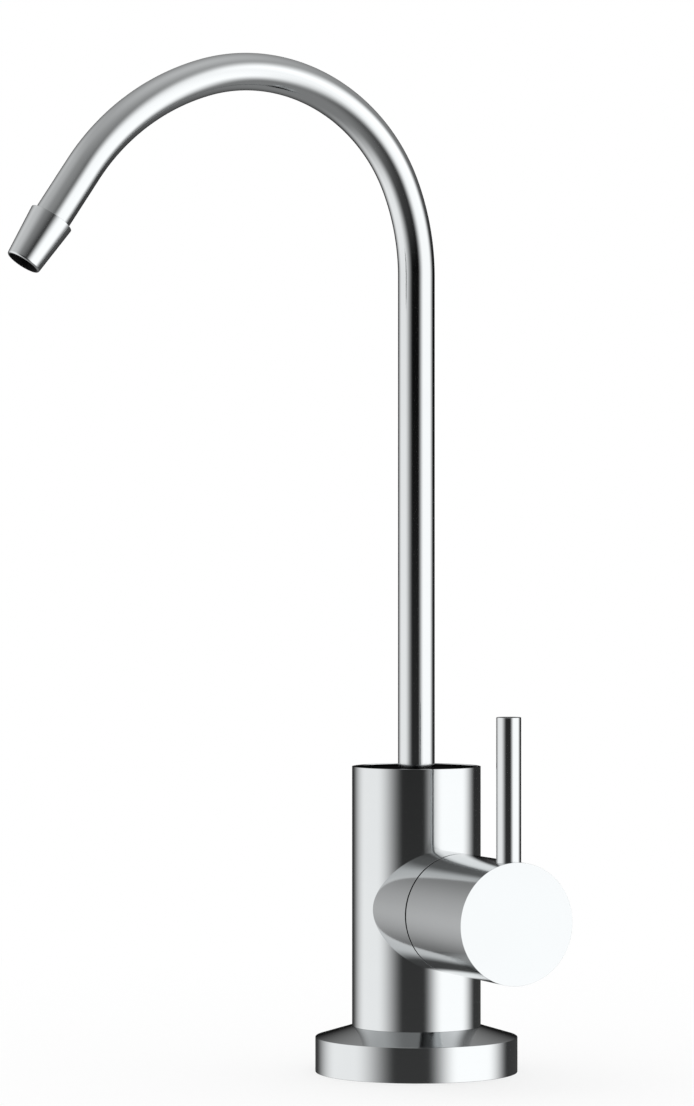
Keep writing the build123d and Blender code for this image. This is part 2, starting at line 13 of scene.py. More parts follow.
import bpy
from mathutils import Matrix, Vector


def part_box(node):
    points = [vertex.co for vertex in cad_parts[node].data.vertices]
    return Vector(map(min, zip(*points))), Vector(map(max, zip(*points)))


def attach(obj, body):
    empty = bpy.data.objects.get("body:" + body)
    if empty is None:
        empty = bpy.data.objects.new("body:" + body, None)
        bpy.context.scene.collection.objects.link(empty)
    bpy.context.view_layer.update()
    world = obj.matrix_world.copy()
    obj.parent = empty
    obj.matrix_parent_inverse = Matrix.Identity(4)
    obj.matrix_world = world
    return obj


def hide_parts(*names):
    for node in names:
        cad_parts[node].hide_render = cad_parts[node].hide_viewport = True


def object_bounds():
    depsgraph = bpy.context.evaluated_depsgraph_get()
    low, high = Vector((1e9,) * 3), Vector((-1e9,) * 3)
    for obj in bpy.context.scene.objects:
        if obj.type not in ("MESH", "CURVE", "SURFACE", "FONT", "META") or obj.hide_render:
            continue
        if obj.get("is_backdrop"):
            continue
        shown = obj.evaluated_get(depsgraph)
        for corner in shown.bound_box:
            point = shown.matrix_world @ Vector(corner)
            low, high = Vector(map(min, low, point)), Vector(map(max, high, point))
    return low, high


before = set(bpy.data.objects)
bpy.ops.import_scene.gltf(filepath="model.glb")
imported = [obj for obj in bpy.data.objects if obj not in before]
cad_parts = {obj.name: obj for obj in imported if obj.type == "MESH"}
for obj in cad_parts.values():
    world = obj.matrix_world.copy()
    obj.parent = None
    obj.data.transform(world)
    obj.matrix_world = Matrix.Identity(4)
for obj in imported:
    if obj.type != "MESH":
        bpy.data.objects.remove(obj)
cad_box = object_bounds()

MM = 0.001
print("the whole tap measures", [round((b - a) / MM, 1) for a, b in zip(*cad_box)], "mm")

# %% [markdown]
# The camera comes first, because every later choice is judged through it. The photograph
# shows the side handle nearly end on and the spout to the left, and its upright lines stay
# upright. So the camera looks level, from beside the handle and a little in front of it.
# A long lens over a metre away gives the flat perspective of a product picture.

# %% Camera
TO_CAMERA = Vector((0.9195, -0.3931, 0.0))
CAMERA_PLACE = (1.0565, -0.4722, 0.1410)
LONG_SIDE = 36.0  # of the sensor in millimetres, along the picture's height
LENS = 138.4  # focal length in millimetres

camera_data = bpy.data.cameras.new("camera")
camera_data.sensor_width = LONG_SIDE
camera_data.lens = LENS
camera = bpy.data.objects.new("camera", camera_data)
bpy.context.scene.collection.objects.link(camera)
camera.location = CAMERA_PLACE
camera.rotation_mode = "QUATERNION"
camera.rotation_quaternion = (-TO_CAMERA).to_track_quat("-Z", "Y")
bpy.context.scene.camera = camera
print("the camera stands", round(camera.location.length, 3), "m from the tap's foot")

# %% [markdown]
# Materials are networks of nodes. Written out in full they hide the idea, so one small
# class wraps a node's output. Adding or multiplying two of them adds the Math node that
# does it, and every other kind of node comes from a single method.


# %% Shader values
class Shade:
    """One output among a material's nodes. Arithmetic on it adds Math nodes."""

    def __init__(self, tree, socket=None):
        self.tree = tree
        self.socket = socket

    def node(self, kind, settings=None, inputs=None, output=0):
        """Add a node: its settings first, then the values or links of its sockets."""
        made = self.tree.nodes.new(kind)
        for name, value in (settings or {}).items():
            setattr(made, name, value)
        for name, value in (inputs or {}).items():
            if isinstance(value, Shade):
                self.tree.links.new(value.socket, made.inputs[name])
            else:
                made.inputs[name].default_value = value
        return Shade(self.tree, made.outputs[output] if made.outputs else None)

    def outputs(self, *names):
        """The outputs of this value's node that have these names."""
        return [Shade(self.tree, self.socket.node.outputs[name]) for name in names]

    def math(self, operation, first, second=0.0):
        return self.node("ShaderNodeMath", {"operation": operation}, {0: first, 1: second})

    def __add__(self, other):
        return self.math("ADD", self, other)

    def __sub__(self, other):
        return self.math("SUBTRACT", self, other)

    def __rsub__(self, other):
        return self.math("SUBTRACT", other, self)

    def __mul__(self, other):
        return self.math("MULTIPLY", self, other)

    def step(self, low, high):
        """A soft step from 0 at low to 1 at high."""
        inputs = {"Value": self, "From Min": low, "From Max": high}
        return self.node("ShaderNodeMapRange", {"interpolation_type": "SMOOTHSTEP"}, inputs)

    def mix(self, first, second):
        """This share of the way from one colour to another, by the node's socket numbers."""
        inputs = {0: self, 6: first, 7: second}
        return self.node("ShaderNodeMix", {"data_type": "RGBA"}, inputs, output=2)


# %% [markdown]
# A finish starts from two things: where a point is on the piece, and noise at a chosen
# grain. Sizes are given in millimetres and turned into the noise's scale, so a grain keeps
# its real size on every piece. Drawn out along two axes, the same noise becomes the fine
# lines that a lathe or a polishing belt leaves.


# %% Noise at real sizes
def new_material(name):
    """An empty material, and the value that its nodes are added through."""
    made = bpy.data.materials.new(name)
    made.use_nodes = True
    made.node_tree.nodes.clear()
    return made, Shade(made.node_tree)


def grain(shade, size, stretch=(1, 1, 1), detail=2.0):
    """Noise from 0 to 1 whose grain has a size in millimetres, drawn out by the stretches."""
    point = shade.node("ShaderNodeTexCoord", output="Object")
    scale = [1 / (size * MM * share) for share in stretch]
    spread = shade.node("ShaderNodeMapping", inputs={"Vector": point, "Scale": scale})
    inputs = {"Vector": spread, "Scale": 1.0, "Detail": detail}
    return shade.node("ShaderNodeTexNoise", inputs=inputs)


# %% [markdown]
# Every finish here is one Principled surface. A fine noise and a broad one move its
# roughness a little round a middle value, because an even shine is what gives a computer
# picture away. The fine noise also becomes relief. Relief this shallow would cost millions
# of faces as geometry, and it never changes an outline, so a Bump node is right for it.


# %% Roughness, relief and surface
def wander(middle, fine, fine_swing, broad, broad_swing):
    """A value that a fine and a broad noise move up and down round its middle."""
    return fine * fine_swing + broad * broad_swing + (middle - (fine_swing + broad_swing) / 2)


def relief(shade, height, depth):
    """A surface normal from a height of 0 to 1, with a depth in millimetres."""
    return shade.node("ShaderNodeBump", inputs={"Distance": depth * MM, "Height": height})


def surface(shade, inputs):
    """Join a Principled surface with these sockets to the material's output."""
    shader = shade.node("ShaderNodeBsdfPrincipled", inputs=inputs)
    shade.node("ShaderNodeOutputMaterial", inputs={"Surface": shader})


# %% [markdown]
# The tap's skin is polished stainless steel. Polished metal has almost no colour of its
# own: the eye reads what it mirrors. What makes it real is small. Lines finer than a hair
# follow the way the piece was turned, the shine varies a little from place to place, and
# the edges between bands of light stay crisp. Steel that is turned about an upright axis
# has lines that change along Z, and the stub and the handle are turned about X.

# %% Polished steel
ALONG_Z = (400, 400, 1)
ALONG_X = (1, 400, 400)
NO_LINES = (1, 1, 1)
STEEL = (0.545, 0.560, 0.566, 1)
STEEL_SHADE = (0.515, 0.529, 0.535, 1)


def polished_steel(name, lines=ALONG_Z, shine=0.10, grooves=0.0002):
    """Bright steel with turned lines, and a faint unevenness left by the polishing wheel."""
    made, shade = new_material(name)
    line = grain(shade, size=0.12, stretch=lines, detail=3.0)
    cloud = grain(shade, size=14.0)
    surface(shade, {
        "Base Color": (line * 0.5 + cloud * 0.5).mix(STEEL_SHADE, STEEL),
        "Metallic": 1.0,
        "Roughness": wander(shine, line, 0.04, cloud, 0.03),
        "Normal": relief(shade, line, grooves),
    })
    return made


steel = {
    "upright": polished_steel("steel_turned_upright"),
    "sideways": polished_steel("steel_turned_sideways", ALONG_X),
    "tube": polished_steel("steel_tube", NO_LINES, grooves=0.0001),
    "face": polished_steel("steel_faced", NO_LINES, shine=0.16, grooves=0.0003),
}
print("steel finishes:", sorted(steel))

# %% [markdown]
# Under the counter nobody polishes anything. Cast and sawn metal is rougher and its colour
# wanders, so one recipe serves them all: a colour that drifts between two tones, a grain,
# and a shine that follows the grain. The same recipe makes the near-black bore finish,
# which is painted shade: darker than any steel, for the shade inside bores and seams.

# %% Plain metals
BRASS = ((0.60, 0.41, 0.16), (0.75, 0.55, 0.26))


def plain_metal(name, dark, light, shine, size=0.35, depth=0.004, lines=NO_LINES):
    """Metal as the machine or the plating bath leaves it."""
    made, shade = new_material(name)
    fine = grain(shade, size, lines, detail=4.0)
    cloud = grain(shade, size=6.0)
    surface(shade, {
        "Base Color": (fine * 0.45 + cloud * 0.55).mix((*dark, 1), (*light, 1)),
        "Metallic": 1.0,
        "Roughness": wander(shine, fine, 0.16, cloud, 0.08),
        "Normal": relief(shade, fine, depth),
    })
    return made


finish = {
    # painted shade: near-black metal for the tube's and nozzle's bores and the seam's faces
    "bore": plain_metal("painted_shade_metal", (0.018, 0.018, 0.019), (0.032, 0.032, 0.033), 0.62),
    "zinc": plain_metal("zinc_plate", (0.52, 0.54, 0.56), (0.70, 0.72, 0.73), 0.30, size=0.8),
    "shank": plain_metal(
        "shank_steel", (0.56, 0.56, 0.55), (0.70, 0.70, 0.69), 0.26, lines=ALONG_Z),
    "clip": plain_metal("spring_steel", (0.40, 0.41, 0.43), (0.55, 0.56, 0.58), 0.24),
    "black_oxide": plain_metal("black_oxide", (0.02, 0.02, 0.022), (0.05, 0.05, 0.055), 0.38),
    "brass": plain_metal("turned_brass", *BRASS, 0.26, lines=ALONG_X),
    "brass_upright": plain_metal("turned_brass_upright", *BRASS, 0.26, lines=ALONG_Z),
    "brass_nut": plain_metal("pressed_brass", (0.56, 0.38, 0.15), (0.72, 0.52, 0.24), 0.34),
}
print("plain metals:", sorted(finish))

# %% [markdown]
# Plastic, rubber and fired ceramic all take the skin of their mould: fine, even and dull.
# They could each have a recipe, but they differ only in their tones, their shine and the
# depth of that skin. So the metals' recipe is used again without the metal.


# %% Plastics, rubbers and ceramic
def grey(level):
    """A neutral colour."""
    return (level, level, level)


def moulded(name, dark, light, shine, size=0.25, depth=0.003, gloss=0.5):
    """Moulded plastic, rubber or fired ceramic, with the fine skin of its mould."""
    made, shade = new_material(name)
    skin = grain(shade, size, detail=3.0)
    cloud = grain(shade, size=9.0)
    surface(shade, {
        "Base Color": (skin * 0.3 + cloud * 0.7).mix((*dark, 1), (*light, 1)),
        "Roughness": wander(shine, skin, 0.14, cloud, 0.06),
        "Specular IOR Level": gloss,
        "Normal": relief(shade, skin, depth),
    })
    return made


finish |= {
    "ceramic": moulded(
        "fired_ceramic", (0.80, 0.78, 0.73), (0.88, 0.86, 0.82), 0.22, depth=0.001),
    # black plastic and painted shade: darker than plastic and shineless, for the dark mouth
    "black_plastic": moulded("black_plastic", grey(0.003), grey(0.006), 0.60, gloss=0.0),
    "white_plastic": moulded("white_plastic", (0.78, 0.78, 0.75), (0.86, 0.86, 0.83), 0.36),
    "adapter_plastic": moulded("adapter_plastic", (0.70, 0.70, 0.68), (0.80, 0.80, 0.78), 0.40),
    "connector_plastic": moulded(
        "connector_plastic", (0.76, 0.77, 0.77), (0.85, 0.86, 0.86), 0.34),
    "collet_plastic": moulded("collet_plastic", (0.20, 0.22, 0.25), (0.27, 0.29, 0.32), 0.36),
    "seal_rubber": moulded("seal_rubber", grey(0.010), grey(0.022), 0.50),
    "gasket_rubber": moulded(
        "gasket_rubber", grey(0.018), grey(0.034), 0.68, size=0.5, depth=0.01),
    "silicone": moulded("silicone", (0.58, 0.20, 0.14), (0.68, 0.26, 0.18), 0.48),
}
print(len(finish), "finishes besides the polished steel")

# %% [markdown]
# Every solid gets its finish by name, from one table. The solids that are modelled again
# below are in it too, so the tap is finished whichever of the two is shown.

# %% Finishes of the solids
wears = {
    "main_body": steel["upright"],
    "base_flange": steel["upright"],
    "base_gasket": finish["gasket_rubber"],
    "guide_bush": finish["black_plastic"],
    "spout_tube": steel["tube"],
    "spout_sleeve": finish["brass_upright"],
    "spout_o_rings": finish["seal_rubber"],
    "slip_washer": finish["white_plastic"],
    "outlet_nozzle": steel["tube"],
    "cartridge_housing": finish["brass"],
    "cartridge_o_ring": finish["seal_rubber"],
    "seat_seal": finish["silicone"],
    "fixed_disc": finish["ceramic"],
    "moving_disc": finish["ceramic"],
    "valve_spindle": finish["brass"],
    "spindle_o_rings": finish["seal_rubber"],
    "thrust_washer": finish["white_plastic"],
    "spindle_clip": finish["clip"],
    "handle_hub": steel["sideways"],
    "lever_rod": steel["upright"],
    "grub_screw": finish["black_oxide"],
    "spline_adapter": finish["adapter_plastic"],
    "threaded_shank": finish["shank"],
    "shank_seal": finish["seal_rubber"],
    "rubber_washer": finish["gasket_rubber"],
    "steel_washer": finish["zinc"],
    "lock_washer": finish["zinc"],
    "mounting_nut": finish["brass_nut"],
    "connector_body": finish["connector_plastic"],
    "connector_o_ring": finish["seal_rubber"],
    "release_collet": finish["collet_plastic"],
}
for node, material in wears.items():
    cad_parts[node].data.materials.clear()
    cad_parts[node].data.materials.append(material)
print("solids without a finish:", sorted(set(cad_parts) - set(wears)))

# %% [markdown]
# Nearly every piece of a tap is turned on a lathe, so one way of modelling serves many of
# them. A circle of edges is extruded to each next radius and height of an outline, as a
# cutter would follow it. Open ends are filled, or an outline that comes back to its start
# is merged there. The Screw modifier could turn an outline too, but this way each step is
# one that the reader can follow by hand.

# %% Turning a piece
SIDES = 360
MERGE = 0.001  # points closer than this become one, in millimetres


def open_ring(name, radius, height, sides=SIDES):
    """A circle of edges about the upright axis, in edit mode with all of it selected."""
    bpy.ops.object.select_all(action="DESELECT")
    place = (0, 0, height * MM)
    bpy.ops.mesh.primitive_circle_add(vertices=sides, radius=radius * MM, location=place)
    piece = bpy.context.active_object
    piece.name = piece.data.name = name
    bpy.ops.object.transform_apply(location=True, rotation=True, scale=True)
    bpy.ops.object.mode_set(mode="EDIT")
    bpy.ops.mesh.select_all(action="SELECT")
    return piece


def pull_ring(start, end):
    """Extrude the selected ring from one point of an outline to the next."""
    rise = (end[1] - start[1]) * MM
    bpy.ops.mesh.extrude_edges_move(TRANSFORM_OT_translate={"value": (0, 0, rise)})
    grow = end[0] / start[0]
    bpy.ops.transform.resize(value=(grow, grow, 1), center_override=(0, 0, end[1] * MM))


def close_shell(fill=True):
    """Merge what meets, fill what is open, and turn every face outwards."""
    bpy.ops.mesh.select_all(action="SELECT")
    bpy.ops.mesh.remove_doubles(threshold=MERGE * MM)
    if fill:
        bpy.ops.mesh.fill_holes(sides=0)
    bpy.ops.mesh.select_all(action="SELECT")
    bpy.ops.mesh.normals_make_consistent(inside=False)
    bpy.ops.object.mode_set(mode="OBJECT")


def turned(name, outline, bored=False, sides=SIDES):
    """A turned piece from the (radius, height) points of its outline, in millimetres."""
    piece = open_ring(name, *outline[0], sides)
    points = outline + outline[:1] if bored else outline
    for start, end in zip(points, points[1:]):
        pull_ring(start, end)
    close_shell()
    return piece


# %% [markdown]
# The other steps are shared too. A piece is stood in its place, joined or cut with another
# and given its edges. A real edge is never sharp, and its narrow bevel is what catches the
# thin bright line. Each modifier is applied as soon as it is added, so the next step works
# on real faces.


# %% Placing, cutting and bevelling
def use_only(piece):
    """Select one piece and nothing else."""
    bpy.ops.object.select_all(action="DESELECT")
    piece.select_set(True)
    bpy.context.view_layer.objects.active = piece


def stand(piece, turn=(0, 0, 0), at=(0, 0, 0)):
    """Turn a piece by degrees and move it by millimetres, then fix it there."""
    use_only(piece)
    piece.rotation_euler = [radians(a) for a in turn]
    piece.location = [c * MM for c in at]
    bpy.ops.object.transform_apply(location=True, rotation=True, scale=True)


def apply_modifier(piece, kind, **settings):
    """Add a modifier with these settings and apply it at once."""
    use_only(piece)
    bpy.ops.object.modifier_add(type=kind)
    modifier = piece.modifiers[-1]
    for name, value in settings.items():
        setattr(modifier, name, value)
    bpy.ops.object.modifier_apply(modifier=modifier.name)


def combine(piece, tool, operation):
    """Join a piece with another solid, or cut it away, and drop the other."""
    apply_modifier(piece, "BOOLEAN", object=tool, operation=operation, solver="EXACT")
    bpy.data.objects.remove(tool, do_unlink=True)


def break_edges(piece, width, sharp=28):
    """A narrow rounded bevel along every edge that is sharper than an angle."""
    apply_modifier(
        piece, "BEVEL", width=width * MM, segments=3, limit_method="ANGLE",
        angle_limit=radians(sharp), offset_type="WIDTH",
    )


# %% [markdown]
# Two last steps end every piece. It is dressed: one finish for the whole, and others for
# the faces that a rule picks, which is quicker and surer than picking them by hand. Then it
# is smoothed, hung on its body and put in place of its solid. Weighted normals keep large
# flat faces flat beside their bevels, and polished steel would show it at once if they
# weren't.

# %% Dressing and handing over
CREASE = 20  # degrees


def dress(piece, material, *others):
    """Give a piece one finish, and each other finish to the faces that its rule picks."""
    piece.data.materials.clear()
    for worn in (material, *(other for other, _ in others)):
        piece.data.materials.append(worn)
    for face in piece.data.polygons:
        picked = [slot for slot, (_, rule) in enumerate(others, 1) if rule(face)]
        face.material_index = picked[-1] if picked else 0


def mm_box(piece):
    """A piece's lowest and highest corners in millimetres, for the printed notes."""
    points = [v.co for v in piece.data.vertices]
    low = [round(min(p[i] for p in points) / MM, 2) for i in range(3)]
    high = [round(max(p[i] for p in points) / MM, 2) for i in range(3)]
    return low, high


def hand_over(piece, body, node):
    """Smooth the piece, and let it stand for its solid on its body."""
    use_only(piece)
    bpy.ops.object.shade_smooth_by_angle(angle=radians(CREASE))
    apply_modifier(piece, "WEIGHTED_NORMAL", mode="FACE_AREA", weight=100, keep_sharp=True)
    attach(piece, body)
    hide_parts(node)
    worn = [material.name for material in piece.data.materials]
    print(piece.name, "has", len(piece.data.polygons), "faces,", mm_box(piece), "wears", worn)


# %% [markdown]
# The sizes that several pieces share come next, in millimetres. They are those of the
# solids. Where a solid's own box already says a size, it is read from the box and not
# written again.


# %% Shared sizes
def side(node, which):
    """One side of a solid's box in millimetres, such as -x or +z."""
    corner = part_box(node)["-+".index(which[0])]
    return corner["xyz".index(which[1])] / MM


FIT = 0.02  # the gap that the solids leave between two pieces that touch
PAST = 1.0  # how far a cutting tool runs past what it cuts
BARREL_RADIUS = 17.5
STUB_RADIUS = 16.0
VALVE_HEIGHT = 45.0
TUBE_RADIUS = 5.0
THREAD_RADIUS = 5.55
THREAD_BORE = THREAD_RADIUS + FIT
BARREL_TOP = side("main_body", "+z")
STUB_FACE = side("main_body", "+x")
FLANGE_TOP = side("base_flange", "+z")
print("barrel top", round(BARREL_TOP, 2), "stub face", round(STUB_FACE, 2))

# %% [markdown]
# The body is one turned barrel with a stub across it. The barrel comes first. It could be
# a plain cylinder, since most of what it holds is hidden, but its thin rim is in view and
# the pieces inside need their room. One outline gives the rim, the spigot in the flange and
# the rooms for the bush, the spout's sleeve, the seal and the shank.

# %% Barrel
RIM_WALL = 0.8
SPIGOT_RADIUS = 15.0
SPIGOT_FOOT = 2.4
SHANK_ROOM = 13.92  # the height at which the shank's room ends
SEAL_RADIUS = 7.55
SEAL_TOP = 4.0
GLAND_RADIUS = 9.0  # the room for the bush and the sleeve's flange
GLAND_FOOT = 69.5
BORE_RADIUS = 7.0  # the room for the sleeve
BORE_FOOT = 58.5
BUSH_SHOULDER = BARREL_TOP - 2.25  # the bush's head rests on it

barrel = turned("barrel", [
    (THREAD_BORE, SHANK_ROOM),
    (THREAD_BORE, SEAL_TOP),
    (SEAL_RADIUS, SEAL_TOP),
    (SEAL_RADIUS, SPIGOT_FOOT),
    (SPIGOT_RADIUS, SPIGOT_FOOT),
    (SPIGOT_RADIUS, FLANGE_TOP),
    (BARREL_RADIUS, FLANGE_TOP),
    (BARREL_RADIUS, BARREL_TOP),
    (BARREL_RADIUS - RIM_WALL, BARREL_TOP),
    (BARREL_RADIUS - RIM_WALL, BUSH_SHOULDER),
    (GLAND_RADIUS, BUSH_SHOULDER),
    (GLAND_RADIUS, GLAND_FOOT),
    (BORE_RADIUS, GLAND_FOOT),
    (BORE_RADIUS, BORE_FOOT),
], sides=720)
break_edges(barrel, width=0.06)
print("barrel before the stub:", len(barrel.data.polygons), "faces")

# %% [markdown]
# On the real tap the stub is welded to the barrel or milled from the same bar, and the line
# where they meet stays crisp. The stub is turned too, laid on its side and joined with a
# Boolean, which gives that line exactly. Bending faces into it by hand would leave ripples
# that polished metal shows at once. Many sides keep the mirror even.

# %% Stub, joined and bored for the valve
SIDEWAYS = (0, 90, 0)
CHAMBER_RADIUS = 11.0
CHAMBER_FLOOR = 5.0

stub = turned("stub", [(STUB_RADIUS, 0), (STUB_RADIUS, STUB_FACE)], sides=720)
break_edges(stub, width=0.06)
stand(stub, SIDEWAYS, (0, 0, VALVE_HEIGHT))
combine(barrel, stub, "UNION")
chamber = turned("chamber", [
    (CHAMBER_RADIUS, CHAMBER_FLOOR), (CHAMBER_RADIUS, STUB_FACE + PAST),
])
stand(chamber, SIDEWAYS, (0, 0, VALVE_HEIGHT))
combine(barrel, chamber, "DIFFERENCE")
print("barrel with its stub:", len(barrel.data.polygons), "faces")

# %% [markdown]
# The stub was turned about its own axis, so its fine lines run another way than the
# barrel's. A second finish is given to the faces that lie outside the barrel's radius. The
# stub's end face is what is seen down the thin seam beside the handle. It gets painted
# shade, the near-black finish, so the seam is drawn as a dark line.

# %% The stub's own lines
FACING = 0.99  # a face looks along X when its normal has at least this much of X

outside = (BARREL_RADIUS + FIT) * MM
stub_end = (STUB_FACE - FIT) * MM
# The stub's end face gets painted shade: near-black, for the shade down in the seam.
dress(
    barrel, steel["upright"],
    (steel["sideways"], lambda face: face.center.xy.length > outside),
    (finish["bore"], lambda face: face.normal.x > FACING and face.center.x > stub_end),
)
hand_over(barrel, "tap", "main_body")

# %% [markdown]
# The flange is a round foot with a straight wall and a shallow cone up to the barrel. It is
# hollow underneath, where a rubber ring seals it to the counter. A cylinder with a bevelled
# edge would look much the same from above, but a bevel is as high as it is wide, and this
# cone is low and wide. So it is turned, and the hollow's ceiling keeps the cone's slope.

# %% Flange
FLANGE_RADIUS = side("base_flange", "+x")
WALL_TOP = 9.5
SLOPE = (FLANGE_TOP - WALL_TOP) / (FLANGE_RADIUS - BARREL_RADIUS)
SKIN = 2.4  # the metal over the hollow
COLLAR_BORE = SPIGOT_RADIUS + FIT
INNER_RING = BARREL_RADIUS + FIT
GASKET_OUTER = INNER_RING + 7.2
GASKET_TOP = 2.0
LEDGE = 1.2  # the gasket rests on a ledge of this width at each side
HOLLOW_INNER = INNER_RING + LEDGE
HOLLOW_OUTER = GASKET_OUTER - LEDGE


def ceiling(radius):
    """The height of the hollow's ceiling, which follows the cone."""
    return FLANGE_TOP - SKIN - SLOPE * (radius - BARREL_RADIUS)


flange = turned("flange", [
    (COLLAR_BORE, 0),
    (INNER_RING, 0),
    (INNER_RING, GASKET_TOP),
    (HOLLOW_INNER, GASKET_TOP),
    (HOLLOW_INNER, ceiling(HOLLOW_INNER)),
    (HOLLOW_OUTER, ceiling(HOLLOW_OUTER)),
    (HOLLOW_OUTER, GASKET_TOP),
    (GASKET_OUTER, GASKET_TOP),
    (GASKET_OUTER, 0),
    (FLANGE_RADIUS, 0),
    (FLANGE_RADIUS, WALL_TOP),
    (BARREL_RADIUS, FLANGE_TOP),
    (COLLAR_BORE, FLANGE_TOP),
], bored=True, sides=540)
break_edges(flange, width=0.2, sharp=12)
dress(flange, steel["upright"])
hand_over(flange, "tap", "base_flange")

# %% [markdown]
# A dark plastic bush sits just inside the barrel's thin rim. It is what makes the barrel
# look open at the top. A flat black disc would do from above. From nearly level it would
# shine, so the head is a shallow dish: its low lip hides the floor's shine and keeps the
# whole mouth of the barrel black. Its black plastic is made darker than plastic and given
# no shine, which is painted shade for the dark open mouth.

# %% Guide bush
BUSH_HOLE = TUBE_RADIUS + 0.05
BUSH_STEM = GLAND_RADIUS - FIT
BUSH_FOOT = side("guide_bush", "-z")
BUSH_LIP = side("guide_bush", "+z")
BUSH_HEAD = side("guide_bush", "+x")
DISH_FLOOR = BARREL_TOP - 0.75
LIP_WALL = 0.5

bush = turned("bush", [
    (BUSH_HOLE, BUSH_FOOT),
    (BUSH_STEM, BUSH_FOOT),
    (BUSH_STEM, BUSH_SHOULDER),
    (BUSH_HEAD, BUSH_SHOULDER),
    (BUSH_HEAD, BUSH_LIP),
    (BUSH_HEAD - LIP_WALL, BUSH_LIP),
    (BUSH_HEAD - LIP_WALL, DISH_FLOOR),
    (BUSH_HOLE, DISH_FLOOR),
], bored=True)
break_edges(bush, width=0.12)
dress(bush, finish["black_plastic"])
hand_over(bush, "tap", "guide_bush")

# %% [markdown]
# The spout is one tube, bent three times in one plane. A bevelled curve is the usual way to
# make a tube. Here the ring of edges goes straight up by an extrusion, and the Spin operator
# carries it round the centre of each bend, with more steps where it turns further. That is
# how the bender works, it keeps the tube round, and each bend has exactly its own radius.

# %% Spout tube
TUBE_FOOT = side("spout_tube", "-z")
RISE_TOP = 216.2  # the tube runs straight up to here
BENDS = [(65.5, 22.0), (46.5, 85.0), (64.0, 39.3)]  # radius, and turn in degrees
STEPS_PER_DEGREE = 1.4
RUN_OUT = 21.0  # and straight on after the last bend


def heading(turn):
    """The way the tube runs after a turn in degrees, from upright towards the spout's side."""
    return Vector((0, -sin(radians(turn)), cos(radians(turn))))


def pull_along(direction, length, cuts):
    """Extrude the selected ring straight on, in equal lengths."""
    for _ in range(cuts):
        move = direction * (length * MM / cuts)
        bpy.ops.mesh.extrude_edges_move(TRANSFORM_OT_translate={"value": move})


spout = open_ring("gooseneck", TUBE_RADIUS, TUBE_FOOT, sides=144)
pull_along(heading(0), RISE_TOP - TUBE_FOOT, cuts=4)
end = Vector((0, 0, RISE_TOP))
turned_so_far = 0.0
for radius, turn in BENDS:
    centre = end + heading(turned_so_far + 90) * radius
    bpy.ops.mesh.spin(
        steps=round(turn * STEPS_PER_DEGREE), angle=-radians(turn), center=centre * MM,
        axis=(1, 0, 0),
    )
    turned_so_far += turn
    end = centre - heading(turned_so_far + 90) * radius
pull_along(heading(turned_so_far), RUN_OUT, cuts=2)
end += heading(turned_so_far) * RUN_OUT
close_shell(fill=False)
print("the tube should end at", [round(c, 2) for c in end], "and spans", mm_box(spout))

# %% [markdown]
# A real tube has a wall. Solidify gives it one, inwards, so the outside stays where it was.
# It adds the inner faces after the outer ones, and that order is enough to give the bore
# the near-black finish, which is painted shade for the shade inside the tube.

# %% Tube wall
TUBE_WALL = 1.0

outer_faces = len(spout.data.polygons)
apply_modifier(spout, "SOLIDIFY", thickness=TUBE_WALL * MM, offset=-1.0, use_even_offset=True)
# The bore gets painted shade: near-black, darker than its steel.
dress(spout, steel["tube"], (finish["bore"], lambda face: face.index >= outer_faces))
hand_over(spout, "spout", "spout_tube")

# %% [markdown]
# The outlet is a short cone pushed over the tube's end. Its upper edge stands proud of the
# tube. At its mouth the wall is rolled over to a round lip, which takes a bright line above
# the dark bore, so the round is part of the outline: a bevel as wide would round the thin
# wall's inner edge as well. It is turned upright and then tipped to the tube's last heading.

# %% Outlet nozzle
NOZZLE_LENGTH = 14.2
NOZZLE_TOP_RADIUS = 6.1
IN_NOZZLE = 5.0  # the length of tube inside it
ROLLED_LIP = [  # radius, and depth inside the mouth
    (4.845, 0.50), (4.815, 0.34), (4.74, 0.18), (4.62, 0.06), (4.46, 0.0), (4.2, 0.0), (4.2, 3.0),
]
NOZZLE_BORE = TUBE_RADIUS - TUBE_WALL
BORE_EDGE = 4.25  # faces nearer to the axis than this are in the bore

nozzle = turned("nozzle", [
    (TUBE_RADIUS + FIT, 0),
    (NOZZLE_TOP_RADIUS, 0),
    *((radius, NOZZLE_LENGTH - depth) for radius, depth in ROLLED_LIP),
    (NOZZLE_BORE, NOZZLE_LENGTH - ROLLED_LIP[-1][1]),
    (NOZZLE_BORE, IN_NOZZLE + FIT),
    (TUBE_RADIUS + FIT, IN_NOZZLE + FIT),
], bored=True, sides=192)
break_edges(nozzle, width=0.12, sharp=35)
in_bore = BORE_EDGE * MM
# The bore gets painted shade: near-black, for the shade inside the mouth.
dress(nozzle, steel["tube"], (finish["bore"], lambda face: face.center.xy.length < in_bore))
stand(nozzle, (turned_so_far, 0, 0), end - heading(turned_so_far) * IN_NOZZLE)
hand_over(nozzle, "spout", "outlet_nozzle")

# %% [markdown]
# The handle is a plain round hub, as thick as the stub, with a flat end and one thin rod.
# It is hollow where it covers the valve's collar. A cylinder with two Booleans would make
# the cavity and the bore for the valve's insert. An outline that starts inside and comes
# round to the end face makes all of it in one turn.

# %% Handle hub
HUB_FACE = side("handle_hub", "-x")
HUB_END = side("handle_hub", "+x")
CAVITY_RADIUS = 13.2
ADAPTER_START = side("spline_adapter", "-x")
ADAPTER_END = side("spline_adapter", "+x")
ADAPTER_RADIUS = side("spline_adapter", "+y")

